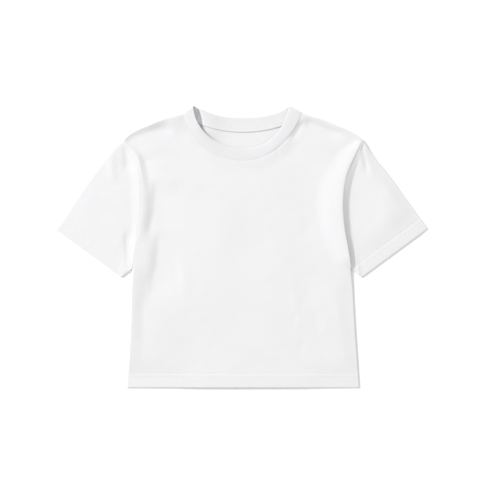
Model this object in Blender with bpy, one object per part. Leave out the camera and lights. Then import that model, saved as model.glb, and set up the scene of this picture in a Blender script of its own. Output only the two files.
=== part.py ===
"""Cropped crew-neck T-shirt laid flat on its back: front, back, two sleeves, a rib neckband and a neck tape.

The neck points along +Y and the front faces up, so the wearer's left side is at +X. Lengths are in metres.
Plan positions are first worked out in the garment's own layout, with y measured up from the hem, and then
moved so that the middle of the bounding box's underside is the origin.
"""

import math
from collections import namedtuple

import bpy
import numpy as np
from mathutils import Matrix

# Cloth.
CLOTH = 0.0012  # one ply of heavy cotton jersey
HEM_PLY = 2 * CLOTH  # a turned-up hem is two plies
RIB = 0.0024  # the neckband is rib knit folded double
TAPE = 0.0010
SEAM = 0.0003  # gap between two pieces at a seam
HEM_DEPTH = 0.022
CUFF_DEPTH = 0.019

# Landmarks, from the centre line and up from the hem.
UNDERARM_Y = 0.207
SHOULDER_X, SHOULDER_Y = 0.2100, 0.4325  # where the armhole seam meets the shoulder seam
NECK_X, NECK_Y = 0.1030, 0.4810  # where the shoulder seam meets the neckband
FOLD_END = {-1: (-0.0865, 0.4928), 1: (0.0810, 0.4928)}  # top of the neckband's fold, at its free edge
FRONT_NECK_Y = 0.3965
BACK_NECK_Y = 0.4506
BAND_WIDTH = 0.0212
CUFF_OUTER = {-1: (-0.3270, 0.2756), 1: (0.3230, 0.2780)}
CUFF_INNER = {-1: (-0.2125, 0.1925), 1: (0.2070, 0.1925)}

# Heights above the surface that the garment lies on.
EDGE_ROUND = 0.0035  # how far in a rolled edge reaches
EDGE_Z = 0.0031  # side and shoulder seams lie at this height
FRONT_LOW_Z = 0.0036  # top of the front in the middle of the body
SIDE_HIGH_Z = 0.0062  # top of the front along the side seams
SHOULDER_HIGH_Z = 0.0062
HEM_TOP_Z = 0.0056
SLEEVE_Z = 0.0048

COTTON = (0.80, 0.80, 0.81, 1.0)
COTTON_ROUGH = 0.92

# Distance of the side seam and armhole seam from the centre line, up from the hem.
Level = namedtuple("Level", "y right left")
SIDE_LINE = (
    Level(0.0000, 0.2035, 0.2035),
    Level(0.1000, 0.1980, 0.1965),
    Level(UNDERARM_Y, 0.1935, 0.1890),
    Level(0.2450, 0.1885, 0.1832),
    Level(0.2750, 0.1812, 0.1778),
    Level(0.3250, 0.1752, 0.1748),
    Level(0.3730, 0.1772, 0.1822),
    Level(0.4150, 0.1912, 0.2012),
    Level(SHOULDER_Y, SHOULDER_X, SHOULDER_X),
)
# Height of the upper outline, out from the neckband's fold and along the shoulder seam.
Rise = namedtuple("Rise", "x right left")
SHOULDER_LINE = (
    Rise(0.0810, 0.4960, 0.4928),
    Rise(NECK_X, NECK_Y, NECK_Y),
    Rise(0.1350, 0.4722, 0.4708),
    Rise(0.1600, 0.4620, 0.4604),
    Rise(0.1850, 0.4516, 0.4496),
    Rise(0.2000, 0.4426, 0.4402),
    Rise(SHOULDER_X, SHOULDER_Y, SHOULDER_Y),
)
# Height of the ridge along the side seam and armhole seam, up from the hem.
Crest = namedtuple("Crest", "y z")
SEAM_CREST = (
    Crest(0.0000, SIDE_HIGH_Z),
    Crest(UNDERARM_Y, SIDE_HIGH_Z),
    Crest(0.2600, 0.0064),
    Crest(0.3800, 0.0064),
    Crest(SHOULDER_Y, SHOULDER_HIGH_Z),
)
# Soft folds: a line from (x0, y0) to (x1, y1), bowed sideways by bow, that rises by height and falls away
# over the width on its left and on its right.
Fold = namedtuple("Fold", "x0 y0 x1 y1 height left right bow")
BODY_FOLDS = (
    Fold(-0.1640, 0.3560, -0.1760, 0.2600, 0.0016, 0.007, 0.007, -0.004),
    Fold(-0.1600, 0.2560, -0.1800, 0.1300, 0.0022, 0.009, 0.013, 0.006),
    Fold(0.1500, 0.2900, 0.1480, 0.1300, 0.0011, 0.013, 0.013, 0.004),
    Fold(-0.1400, 0.4560, -0.0850, 0.4160, 0.0013, 0.011, 0.013, 0.003),
    Fold(0.1050, 0.4640, 0.1650, 0.4420, 0.0010, 0.010, 0.012, 0.000),
    Fold(-0.0950, 0.2500, -0.1150, 0.0700, 0.0009, 0.012, 0.012, 0.004),
    Fold(0.0850, 0.2000, 0.1150, 0.0650, 0.0009, 0.013, 0.011, -0.004),
)
SLEEVE_FOLDS = {
    -1: (
        Fold(-0.2200, 0.4160, -0.2080, 0.3500, -0.0016, 0.007, 0.009, 0.000),
        Fold(-0.2500, 0.3500, -0.2850, 0.2750, 0.0010, 0.016, 0.016, 0.004),
    ),
    1: (
        Fold(0.2160, 0.4200, 0.2260, 0.3650, 0.0014, 0.008, 0.008, 0.002),
        Fold(0.2480, 0.3500, 0.2750, 0.2700, 0.0010, 0.018, 0.014, -0.004),
    ),
}
# How the top of a sleeve leaves the armhole seam, at a share of the way down that seam: it falls to low over
# width, and then rises again by lip.
Gutter = namedtuple("Gutter", "share width low lip")
SLEEVE_GUTTER = {
    -1: (
        Gutter(0.00, 0.014, 0.0060, 0.0002),
        Gutter(0.30, 0.024, 0.0050, 0.0000),
        Gutter(0.65, 0.022, 0.0048, 0.0000),
        Gutter(0.85, 0.012, 0.0046, 0.0004),
        Gutter(1.00, 0.009, 0.0056, 0.0004),
    ),
    1: (
        Gutter(0.00, 0.008, 0.0056, 0.0008),
        Gutter(0.30, 0.011, 0.0040, 0.0018),
        Gutter(0.65, 0.012, 0.0036, 0.0024),
        Gutter(0.90, 0.012, 0.0036, 0.0024),
        Gutter(1.00, 0.010, 0.0054, 0.0008),
    ),
}
# How far the sleeve's upper fold bows out from a straight line, from the shoulder to the cuff.
Bow = namedtuple("Bow", "share right left")
SLEEVE_BOW = (
    Bow(0.00, 0.0000, 0.0000),
    Bow(0.12, 0.0046, -0.0004),
    Bow(0.25, 0.0064, -0.0012),
    Bow(0.45, 0.0054, 0.0006),
    Bow(0.70, 0.0044, 0.0002),
    Bow(1.00, 0.0000, 0.0000),
)

# Neckband: the two middle control points of each curve, between its outer end and the centre line.
Curve = namedtuple("Curve", "x1 y1 x2")
SEAM_END = {-1: (-NECK_X, NECK_Y), 1: (NECK_X, NECK_Y)}
FRONT_SEAM = {-1: Curve(-0.0970, 0.4400, -0.0640), 1: Curve(0.0910, 0.4450, 0.0525)}
BACK_SEAM = {-1: Curve(-0.0840, 0.4660, -0.0500), 1: Curve(0.0840, 0.4660, 0.0500)}
FRONT_FREE = {-1: Curve(-0.0870, 0.4550, -0.0500), 1: Curve(0.0700, 0.4430, 0.0410)}
BACK_FREE = {-1: Curve(-0.0640, 0.4790, -0.0400), 1: Curve(0.0640, 0.4790, 0.0400)}
# Top of the band's seam edge and free edge along the front, from the right shoulder (-1) to the left one (1).
Lift = namedtuple("Lift", "place seam free")
BAND_LIFT = (
    Lift(-1.00, 0.0066, 0.0092),
    Lift(-0.70, 0.0068, 0.0100),
    Lift(-0.35, 0.0058, 0.0076),
    Lift(0.00, 0.0050, 0.0050),
    Lift(0.35, 0.0054, 0.0054),
    Lift(0.70, 0.0060, 0.0064),
    Lift(1.00, 0.0066, 0.0074),
)
TAPE_WIDTH = 0.0085
TAPE_PAST_SEAM = 0.0043  # how far the tape reaches onto the back, from the seam under it


def ease(q):
    """0 before 0, 1 after 1, and a smooth rise between."""
    q = np.clip(q, 0.0, 1.0)
    return q * q * (3 - 2 * q)


def fade(distance, reach):
    """1 at an edge, falling smoothly to 0 at a distance of reach from it."""
    return 1 - ease(distance / reach)


def read_table(rows, column, at):
    """A smooth curve through a table's first column and another, read at a value of the first."""
    xs = np.array([row[0] for row in rows])
    ys = np.array([getattr(row, column) for row in rows])
    slopes = np.gradient(ys, xs)
    at = np.clip(at, xs[0], xs[-1])
    i = np.clip(np.searchsorted(xs, at, side="right") - 1, 0, len(xs) - 2)
    step = xs[i + 1] - xs[i]
    t = (at - xs[i]) / step
    start = (1 + 2 * t) * (1 - t) ** 2 * ys[i] + t * (1 - t) ** 2 * step * slopes[i]
    end = t * t * (3 - 2 * t) * ys[i + 1] - t * t * (1 - t) * step * slopes[i + 1]
    return start + end


def read_side(rows, at, side):
    """A table's column for the wearer's right (side < 0) or left, read at a value of its first column."""
    return np.where(np.asarray(side) < 0, read_table(rows, "right", at), read_table(rows, "left", at))


def unit(vectors):
    return vectors / np.maximum(np.linalg.norm(vectors, axis=-1, keepdims=True), 1e-12)


def fold_height(folds, x, y):
    """The sum of the soft folds at a point."""
    total = np.zeros_like(x)
    for fold in folds:
        along = np.array([fold.x1 - fold.x0, fold.y1 - fold.y0])
        length = np.hypot(*along)
        t = ((x - fold.x0) * along[0] + (y - fold.y0) * along[1]) / length**2
        aside = ((x - fold.x0) * -along[1] + (y - fold.y0) * along[0]) / length
        aside = aside - fold.bow * 4 * t * (1 - t)
        width = np.where(aside > 0, fold.left, fold.right)
        total = total + fold.height * np.exp(-((aside / width) ** 2)) * ease(t / 0.3) * ease((1 - t) / 0.3)
    return total


# Rolled edges: an edge is round over EDGE_ROUND, where turn goes from 0 at the edge to 1 on the level cloth.
ROLL_ANGLES = (0, 38, 90)
ROLL_STEPS = tuple(EDGE_ROUND * (1 - math.cos(math.radians(a))) for a in ROLL_ANGLES)


def roll(distance):
    return np.sqrt(np.clip(1 - (1 - np.clip(distance / EDGE_ROUND, 0, 1)) ** 2, 0, 1))


def lean(turn):
    """How much a rolled edge's surface faces sideways."""
    return np.sqrt(np.clip(1 - turn**2, 0, 1))


def neck_curve(curves, ends, centre_y, place):
    """A point of a neckline or band edge. Place runs from the right shoulder (-1) to the left one (1)."""
    place = np.asarray(place, float)
    halves = []
    for side in (-1, 1):
        curve = curves[side]
        controls = (ends[side], (curve.x1, curve.y1), (curve.x2, centre_y), (0, centre_y))
        a, b, c, d = (np.array(p, float) for p in controls)
        t = (1 - np.abs(place))[..., None]
        halves.append((1 - t) ** 3 * a + 3 * (1 - t) ** 2 * t * b + 3 * (1 - t) * t * t * c + t**3 * d)
    return np.where((place < 0)[..., None], halves[0], halves[1])


def front_seam(place):
    return neck_curve(FRONT_SEAM, SEAM_END, FRONT_NECK_Y, place)


def back_seam(place):
    return neck_curve(BACK_SEAM, SEAM_END, BACK_NECK_Y, place)


def front_free(place):
    return neck_curve(FRONT_FREE, FOLD_END, FRONT_NECK_Y + BAND_WIDTH, place)


def back_free(place):
    return neck_curve(BACK_FREE, FOLD_END, BACK_NECK_Y + BAND_WIDTH, place)


def moved_off(curve, place, distance):
    """Points of a neckline moved into the body by a distance."""
    place = np.asarray(place, float)
    step = 1e-4
    way = unit(curve(np.clip(place + step, -1, 1)) - curve(np.clip(place - step, -1, 1)))
    return curve(place) + distance * np.stack([way[..., 1], -way[..., 0]], axis=-1)


# Places along a neckline, from its outer end to the centre line: first round the rolled shoulder.
NECK_SPEED = 0.105  # metres of neckline for each unit of place, next to the shoulder
NECK_ENDS = [1 - d / NECK_SPEED for d in ROLL_STEPS]
NECK_HALF = NECK_ENDS + list(np.linspace(NECK_ENDS[-1], 0, 9)[1:])
NECK_PLACES = np.array([-place for place in NECK_HALF[:-1]] + NECK_HALF[::-1])

# Shares of the way down an armhole from the shoulder: round both of its rolled ends, and in between.
ARMHOLE_LENGTH = SHOULDER_Y - UNDERARM_Y
ARMHOLE_ENDS = [d / ARMHOLE_LENGTH for d in ROLL_STEPS]
ARMHOLE_MIDDLE = [0.07, 0.16, 0.27, 0.39, 0.51, 0.63, 0.75, 0.86, 0.94]
ARMHOLE_SHARES = np.array(ARMHOLE_ENDS + ARMHOLE_MIDDLE + [1 - share for share in ARMHOLE_ENDS[::-1]])


# Body panels: u runs across from the wearer's right (-1) to the left (1). Its middle part meets the neckline.
NECK_SHARE = 0.53


def top_edge(seam, u):
    """The panel's top edge: one shoulder, the neckline, and the other shoulder."""
    u = np.asarray(u, float)
    out = np.clip((np.abs(u) - NECK_SHARE) / (1 - NECK_SHARE), 0, 1)
    x = NECK_X + SEAM + out * (SHOULDER_X - NECK_X - SEAM)
    shoulder = np.stack([np.sign(u) * x, read_side(SHOULDER_LINE, x, u)], axis=-1)
    neck = moved_off(seam, np.clip(u / NECK_SHARE, -1, 1), SEAM)
    return np.where((np.abs(u) >= NECK_SHARE)[..., None], shoulder, neck)


def panel_plan(seam, columns, low):
    """Plan positions of a panel's grid: rows at the heights low, then up the armholes to the top edge."""
    u = np.asarray(columns)[None, :]
    y_low = np.asarray(low)[:, None] + 0 * u
    x_low = u * read_side(SIDE_LINE, y_low, u)
    w = (1 - ARMHOLE_SHARES[::-1])[:, None]
    top = top_edge(seam, u)
    side_y = UNDERARM_Y + w * ARMHOLE_LENGTH
    underarm_x = read_side(SIDE_LINE, UNDERARM_Y, u)
    hollow = read_side(SIDE_LINE, side_y, u) - (1 - w) * underarm_x - w * SHOULDER_X
    x_high = (1 - w) * u * underarm_x + w * top[..., 0] + u * np.abs(u) ** 3 * hollow
    y_high = (1 - w) * UNDERARM_Y + w * top[..., 1]
    return np.concatenate([x_low, x_high]), np.concatenate([y_low, y_high])


def panel_columns(shoulder_steps):
    """Columns from side to side: close at the rolled sides, then along the shoulder and the neckline."""
    sides = [1 - d / 0.190 for d in ROLL_STEPS]
    shoulder = list(np.linspace(sides[-1], NECK_SHARE, shoulder_steps + 1)[1:-1])
    half = sides + shoulder + [NECK_SHARE * place for place in NECK_HALF]
    return [-c for c in half[:-1]] + half[::-1]


def hem_steps(depth):
    """Distances in from a hem's folded edge: round the fold, then either side of the turned-up ply's edge."""
    nose = [CLOTH * (1 - math.cos(math.radians(a))) for a in (15, 45, 90)]
    return [step - nose[0] for step in nose] + [depth - 0.0006, depth + 0.0006]


def ply(from_hem, depth):
    """The wall's thickness: two plies in the hem and one above it."""
    return np.where(from_hem < depth, HEM_PLY, CLOTH)


def hem_pinch(from_hem):
    """How much of a hem's thickness is lost towards its folded edge."""
    q = np.clip(1 - from_hem / CLOTH, 0, 0.966)
    return 1 - np.sqrt(1 - q * q)


def panel_roll(x, y):
    """Turn and sideways lean of a panel's rolled side edges, and of its rolled shoulder edges."""
    side = np.maximum(roll(read_side(SIDE_LINE, y, x) - np.abs(x)), roll(y - UNDERARM_Y))
    shoulder = roll((read_side(SHOULDER_LINE, np.abs(x), x) - y) * 0.91)
    return side, shoulder


def panel_walls(x, y, outer_z, level_z, up):
    """Outer and inner surfaces of a panel. Its edges roll from level_z to the seams; up is 1 on the front."""
    side, shoulder = panel_roll(x, y)
    turn = side * shoulder
    plan = np.stack([x, y], axis=-1)
    across = unit(np.gradient(plan, axis=1)) * np.sign(x)[..., None]
    upward = unit(np.gradient(plan, axis=0))
    out = across * lean(side)[..., None] + upward * (lean(shoulder) * side)[..., None]
    z = level_z + (outer_z - level_z) * turn
    wall = ply(y, HEM_DEPTH)
    outer = np.concatenate([plan, z[..., None]], axis=-1)
    inner = np.concatenate([plan - out * wall[..., None], (z - up * wall * turn)[..., None]], axis=-1)
    return pinched(outer, inner, hem_pinch(y))


def pinched(outer, inner, share):
    middle = (outer + inner) / 2
    return outer + (middle - outer) * share[..., None], inner + (middle - inner) * share[..., None]


def front_height(x, y, u):
    """Top of the front above the surface, before its edges roll down."""
    crest = read_table(SEAM_CREST, "z", y)
    reach = np.where(x < 0, 0.030, 0.034) - np.where(x < 0, 0.012, 0.006) * ease((y - UNDERARM_Y) / 0.06)
    height = FRONT_LOW_Z + (HEM_TOP_Z - FRONT_LOW_Z) * fade(y - HEM_DEPTH, 0.018)
    height = height + (crest - height) * fade(read_side(SIDE_LINE, y, x) - np.abs(x), reach)
    below_top = top_edge(front_seam, u)[..., 1] - y
    past_neck = ease((np.abs(u) - NECK_SHARE + 0.06) / 0.12)
    high = np.maximum(height, SHOULDER_HIGH_Z)
    height = height + (high - height) * fade(below_top, 0.024) * past_neck
    neck_z = read_table(BAND_LIFT, "seam", np.clip(u / NECK_SHARE, -1, 1)) - 0.0006
    near_neck = fade(below_top, 0.026) * (1 - past_neck)
    height = height + (neck_z - height) * near_neck
    return height + fold_height(BODY_FOLDS, x, y) * (1 - near_neck) * ease((y - HEM_DEPTH) / 0.02)




def front_panel():
    columns = panel_columns(5)
    x, y = panel_plan(front_seam, columns, hem_steps(HEM_DEPTH) + [0.034, 0.055, 0.085, 0.117, 0.149, 0.180])
    u = np.asarray(columns)[None, :] + 0 * x
    return closed_grid("front_panel", *panel_walls(x, y, front_height(x, y, u), EDGE_Z + SEAM / 2, 1))


def back_panel():
    x, y = panel_plan(back_seam, panel_columns(3), hem_steps(HEM_DEPTH) + [0.085, 0.149])
    return closed_grid("back_panel", *panel_walls(x, y, 0 * x, EDGE_Z - SEAM / 2, -1))


def rounded_tube(name, plan_top, plan_bottom, top_z, turn, wall, pinch):
    """A flattened tube between two rolled edges: the rows of its top, then those of its underside."""
    across = np.linspace(0, 1, len(top_z))[:, None]
    middle = (top_z[:1] * (1 - across) + top_z[-1:] * across) / 2
    turn = turn[:, None] + 0 * top_z
    middle_row = (len(top_z) - 1) / 2
    toward = np.sign(middle_row - np.arange(len(top_z)))[:, None, None]
    edges = [-unit(np.gradient(plan, axis=0)) * toward for plan in (plan_top, plan_bottom)]
    for row in (0, -1):
        edges[0][row] = edges[1][row] = unit(edges[0][row] + edges[1][row])
    surfaces = []
    for plan, edge, level, up in ((plan_top, edges[0], top_z, 1), (plan_bottom, edges[1], 0 * top_z, -1)):
        z = middle + (level - middle) * turn
        outer = np.concatenate([plan, z[..., None]], axis=-1)
        shift = edge * (lean(turn) * wall)[..., None]
        inner = np.concatenate([plan - shift, (z - up * wall * turn)[..., None]], axis=-1)
        surfaces.append(pinched(outer, inner, pinch))
    (top_out, top_in), (low_out, low_in) = surfaces
    outer = np.concatenate([top_out, low_out[-2:0:-1]])
    inner = np.concatenate([top_in, low_in[-2:0:-1]])
    return closed_grid(name, outer, inner, wrap=True)


def sleeve(name, side):
    """A short sleeve: a flattened tube from the armhole seam to the cuff."""
    t = ARMHOLE_SHARES
    turn = roll(np.minimum(t, 1 - t) * ARMHOLE_LENGTH)
    column = "left" if side > 0 else "right"
    seam_y = SHOULDER_Y + t * (UNDERARM_Y - SHOULDER_Y)
    armhole = np.stack([side * read_table(SIDE_LINE, column, seam_y), seam_y], axis=-1)
    way = unit(np.gradient(armhole, axis=0))
    armhole = armhole + SEAM * side * np.stack([-way[:, 1], way[:, 0]], axis=-1)
    outer, inner = np.array(CUFF_OUTER[side]), np.array(CUFF_INNER[side])
    cuff = outer + t[:, None] * (inner - outer)
    cuff_way = unit(inner - outer)
    up_sleeve = np.array([cuff_way[1], -cuff_way[0]]) * (-side)
    up_sleeve = up_sleeve if up_sleeve[1] > 0 else -up_sleeve

    fold_way = unit(armhole[0] - outer)
    fold_up = fold_way / (fold_way @ up_sleeve)
    under_way = unit(armhole[-1] - inner)
    under_up = under_way / (under_way @ up_sleeve)
    up = (1 - t)[:, None] * fold_up + t[:, None] * under_up
    hem = cuff + (CUFF_DEPTH + 0.0006) * up

    s = np.array([0, 0.03, 0.07, 0.12, 0.18, 0.27, 0.40, 0.56, 0.74, 0.88, 1.0])
    bow = read_table(SLEEVE_BOW, column, s)
    fold_out = np.array([fold_way[1], -fold_way[0]])
    fold_out = fold_out if fold_out[0] * side > 0 else -fold_out
    fold_line = armhole[0] + s[:, None] * (hem[0] - armhole[0]) + bow[:, None] * fold_out
    under_line = armhole[-1] + s[:, None] * (hem[-1] - armhole[-1])
    a, c, s3, t3 = armhole[:, None], hem[:, None], s[None, :, None], t[:, None, None]
    corners = (1 - s3) * ((1 - t3) * armhole[0] + t3 * armhole[-1]) + s3 * ((1 - t3) * hem[0] + t3 * hem[-1])
    upper = (1 - s3) * a + s3 * c + (1 - t3) * fold_line[None] + t3 * under_line[None] - corners
    steps = np.array(hem_steps(CUFF_DEPTH)[-2::-1])
    cuffs = cuff[:, None] + steps[None, :, None] * up[:, None]
    plan = np.concatenate([upper, cuffs], axis=1)

    from_cuff = (plan - outer) @ up_sleeve
    from_seam = np.linalg.norm(plan - plan[:, :1], axis=-1)
    height = sleeve_height(side, t, seam_y, from_seam, from_cuff)
    height = height + fold_height(SLEEVE_FOLDS[side], plan[..., 0], plan[..., 1]) * ease(from_seam / 0.006)
    wall = ply(from_cuff, CUFF_DEPTH)
    return rounded_tube(name, plan, plan, height, turn, wall, hem_pinch(from_cuff))


def sleeve_height(side, t, seam_y, from_seam, from_cuff):
    """Top of a sleeve above the surface, before its edges roll down."""
    table = SLEEVE_GUTTER[side]
    width, low, lip = (read_table(table, column, t)[:, None] for column in ("width", "low", "lip"))
    crest = read_table(SEAM_CREST, "z", seam_y)[:, None]
    rise = ease((from_seam - width) / 0.006) * fade(from_seam - width - 0.010, 0.060)
    height = low + (crest - low) * fade(from_seam, width) + lip * rise
    height = height + (SLEEVE_Z - height) * ease((from_seam - width) / 0.090)
    return height + (HEM_TOP_Z - height) * fade(from_cuff - CUFF_DEPTH, 0.014)


def neckband():
    """One ring of rib, folded over at both shoulders, with its front half on top of its back half."""
    turn_end = [math.sin(math.radians(a)) for a in ROLL_ANGLES]
    turn = np.array(turn_end + [1.0] * (len(NECK_PLACES) - 2 * len(turn_end)) + turn_end[::-1])
    nose = [RIB / 2 * (1 - math.cos(math.radians(a))) for a in (15, 50, 90)]
    nose = [(step - nose[0]) / BAND_WIDTH for step in nose]
    w = np.array([0, 0.25, 0.5, 0.75] + [1 - step for step in nose[::-1]])
    plans = []
    for seam, free in ((front_seam, front_free), (back_seam, back_free)):
        seam_edge, free_edge = seam(NECK_PLACES)[:, None], free(NECK_PLACES)[:, None]
        plans.append(seam_edge + w[None, :, None] * (free_edge - seam_edge))
    seam_z, free_z = (read_table(BAND_LIFT, column, NECK_PLACES)[:, None] for column in ("seam", "free"))
    height = seam_z + (free_z - seam_z) * w
    pinch = 0 * height + (1 - np.sqrt(1 - np.clip(1 - (1 - w) * BAND_WIDTH / (RIB / 2), 0, 0.966) ** 2))
    return rounded_tube("neckband", *plans, height, turn, 0 * height + RIB, pinch)


def neck_tape():
    """A narrow strip sewn over the back neck seam, on the inside of the garment."""
    places = NECK_PLACES[3:-3]
    offsets = np.array([TAPE_PAST_SEAM, TAPE_PAST_SEAM / 2, 0, TAPE_PAST_SEAM - TAPE_WIDTH])
    plan = np.stack([moved_off(back_seam, places, offset) for offset in offsets])
    under = np.array([CLOTH + SEAM, CLOTH + SEAM, RIB + SEAM, RIB + SEAM])[:, None] + 0 * places
    lower = np.concatenate([plan, under[..., None]], axis=-1)
    upper = lower + np.array([0, 0, TAPE])
    return closed_grid("neck_tape", upper, lower)


def closed_grid(name, outer, inner, wrap=False):
    """A closed solid between an outer and an inner grid of points. With wrap, its rows close into a ring."""
    rows, columns, _ = outer.shape
    points = np.concatenate([outer.reshape(-1, 3), inner.reshape(-1, 3)])
    half = rows * columns
    faces = []
    for i in range(rows if wrap else rows - 1):
        k = (i + 1) % rows
        for j in range(columns - 1):
            a, b, c, d = i * columns + j, i * columns + j + 1, k * columns + j + 1, k * columns + j
            faces.append((a, b, c, d))
            faces.append((half + d, half + c, half + b, half + a))
        first, second = i * columns, k * columns
        faces.append((first, second, half + second, half + first))
        first, second = i * columns + columns - 1, k * columns + columns - 1
        faces.append((second, first, half + first, half + second))
    if not wrap:
        for j in range(columns - 1):
            a, b = j, j + 1
            faces.append((b, a, half + a, half + b))
            a, b = (rows - 1) * columns + j, (rows - 1) * columns + j + 1
            faces.append((a, b, half + b, half + a))
    quads = points[np.array(faces)]
    a, b, c, d = (quads[:, k] for k in range(4))
    if (a * (np.cross(b, c) + np.cross(c, d))).sum() < 0:
        faces = [face[::-1] for face in faces]
    mesh = bpy.data.meshes.new(name)
    mesh.from_pydata(points.tolist(), [], faces)
    mesh.shade_smooth()
    mesh.materials.append(cotton(name))
    made = bpy.data.objects.new(name, mesh)
    bpy.context.scene.collection.objects.link(made)
    return made


def cotton(name):
    """White cotton for one piece."""
    made = bpy.data.materials.new("cotton_" + name)
    made.use_nodes = True
    shader = made.node_tree.nodes["Principled BSDF"]
    shader.inputs["Base Color"].default_value = COTTON
    shader.inputs["Roughness"].default_value = COTTON_ROUGH
    shader.inputs["Metallic"].default_value = 0.0
    made.diffuse_color = COTTON
    return made


def clear_scene():
    for thing in list(bpy.data.objects):
        bpy.data.objects.remove(thing)


def centre_on_origin(pieces):
    """Moves every piece's mesh so that the middle of the whole garment's underside is the origin."""
    corners = np.array([vertex.co for piece in pieces for vertex in piece.data.vertices])
    low, high = corners.min(axis=0), corners.max(axis=0)
    middle = (low + high) / 2
    for piece in pieces:
        piece.data.transform(Matrix.Translation((-middle[0], -middle[1], -low[2])))


def main():
    clear_scene()
    sleeves = [sleeve("sleeve_right", -1), sleeve("sleeve_left", 1)]
    centre_on_origin([front_panel(), back_panel(), *sleeves, neckband(), neck_tape()])


main()
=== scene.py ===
"""Cloth, sewing, stage and light for a cropped crew-neck T-shirt laid flat on its back.

The garment's own layout is in millimetres: x from the centre line towards the wearer's left, y up from the
hem, and z up from the surface it lies on. Finished pieces are in metres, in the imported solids' frame.
"""

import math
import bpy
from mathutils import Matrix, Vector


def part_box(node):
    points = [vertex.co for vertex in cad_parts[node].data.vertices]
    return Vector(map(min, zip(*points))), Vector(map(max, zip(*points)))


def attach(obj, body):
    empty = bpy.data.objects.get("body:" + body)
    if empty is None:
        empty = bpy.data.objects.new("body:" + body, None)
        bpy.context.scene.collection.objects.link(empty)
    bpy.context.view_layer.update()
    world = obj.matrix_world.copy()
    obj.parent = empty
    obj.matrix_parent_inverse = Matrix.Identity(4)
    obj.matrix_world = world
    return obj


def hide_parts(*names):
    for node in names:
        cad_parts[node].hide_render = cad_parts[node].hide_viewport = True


bl_info = {
    "name": "Crop top laid flat",
    "version": (1, 0, 0),
    "blender": (4, 5, 0),
    "location": "3D View > Sidebar > Crop Top",
    "description": "Sews a cropped crew-neck T-shirt in white cotton and lays it flat on a pale table",
    "category": "Add Mesh",
}

from collections import namedtuple
from functools import partial

import bpy
import numpy as np
from bpy.props import FloatProperty, FloatVectorProperty, PointerProperty
from mathutils import Euler, Vector
from mathutils.bvhtree import BVHTree

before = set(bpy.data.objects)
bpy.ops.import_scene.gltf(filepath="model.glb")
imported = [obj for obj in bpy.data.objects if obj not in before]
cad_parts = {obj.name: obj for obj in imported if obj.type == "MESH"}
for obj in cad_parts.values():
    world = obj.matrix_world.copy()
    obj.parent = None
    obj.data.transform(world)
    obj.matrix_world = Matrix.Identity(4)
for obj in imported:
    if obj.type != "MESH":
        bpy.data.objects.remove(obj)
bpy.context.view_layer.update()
BACK_LOW, BACK_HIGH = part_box("back_panel")
# Where the layout's own origin, the middle of the hem, lies in the frame.
LAYOUT = np.array([(BACK_LOW.x + BACK_HIGH.x) / 2, BACK_LOW.y, 0.0])
MM = 0.001


def table(columns, *rows):
    """Rows of numbers under named columns."""
    row = namedtuple("Row", columns)
    return tuple(row(*numbers) for numbers in rows)


# Sizes and tables are in millimetres. The jersey is thinner than the solids' walls.
CLOTH = 0.45
RIB = 1.4  # two plies
TAPE = 0.7
SEAM = 0.05  # gap between pieces that are sewn together

# Landmarks of the outline, as the solids have them.
UNDERARM_Y = 207.0
SHOULDER_X, SHOULDER_Y = 210.0, 432.5
NECK_X, NECK_Y = 103.0, 481.0
FOLD_END = {-1: (-86.5, 492.8), 1: (81.0, 492.8)}
FRONT_NECK_Y = 396.5
BACK_NECK_Y = 450.6
BAND_WIDTH = 21.2
CUFF_OUTER = {-1: (-327.0, 275.6), 1: (323.0, 278.0)}
CUFF_INNER = {-1: (-212.5, 192.5), 1: (207.0, 192.5)}
ARMHOLE_LENGTH = SHOULDER_Y - UNDERARM_Y
SHOULDER_SLANT = 0.91  # cosine of the shoulder's slope

EDGE_ROUND = 2.6  # how far in from its edges the cloth rolls down
EDGE_Z = 1.1  # height of the side and shoulder seams
DITCH_REACH = 1.3  # how far from a seam its ditch fades

SIDE_LINE = table(
    "y right left",
    (0, 203.5, 203.5),
    (100, 198, 196.5),
    (UNDERARM_Y, 193.5, 189),
    (245, 188.5, 183.2),
    (275, 181.2, 177.8),
    (325, 175.2, 174.8),
    (373, 177.2, 182.2),
    (415, 191.2, 201.2),
    (SHOULDER_Y, SHOULDER_X, SHOULDER_X),
)
SHOULDER_LINE = table(
    "x right left",
    (81, 496, 492.8),
    (NECK_X, NECK_Y, NECK_Y),
    (135, 472.2, 470.8),
    (160, 462, 460.4),
    (185, 451.6, 449.6),
    (200, 442.6, 440.2),
    (SHOULDER_X, SHOULDER_Y, SHOULDER_Y),
)
SLEEVE_BOW = table(
    "share right left",
    (0.00, 0, 0),
    (0.12, 4.6, -0.4),
    (0.25, 6.4, -1.2),
    (0.45, 5.4, 0.6),
    (0.70, 4.4, 0.2),
    (1.00, 0, 0),
)
Curve = namedtuple("Curve", "x1 y1 x2")
SEAM_END = {-1: (-NECK_X, NECK_Y), 1: (NECK_X, NECK_Y)}
FRONT_SEAM = {-1: Curve(-97.0, 440.0, -64.0), 1: Curve(91.0, 445.0, 52.5)}
BACK_SEAM = {-1: Curve(-84.0, 466.0, -50.0), 1: Curve(84.0, 466.0, 50.0)}
FRONT_FREE = {-1: Curve(-87.0, 455.0, -50.0), 1: Curve(70.0, 443.0, 41.0)}
BACK_FREE = {-1: Curve(-64.0, 479.0, -40.0), 1: Curve(64.0, 479.0, 40.0)}

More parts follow.
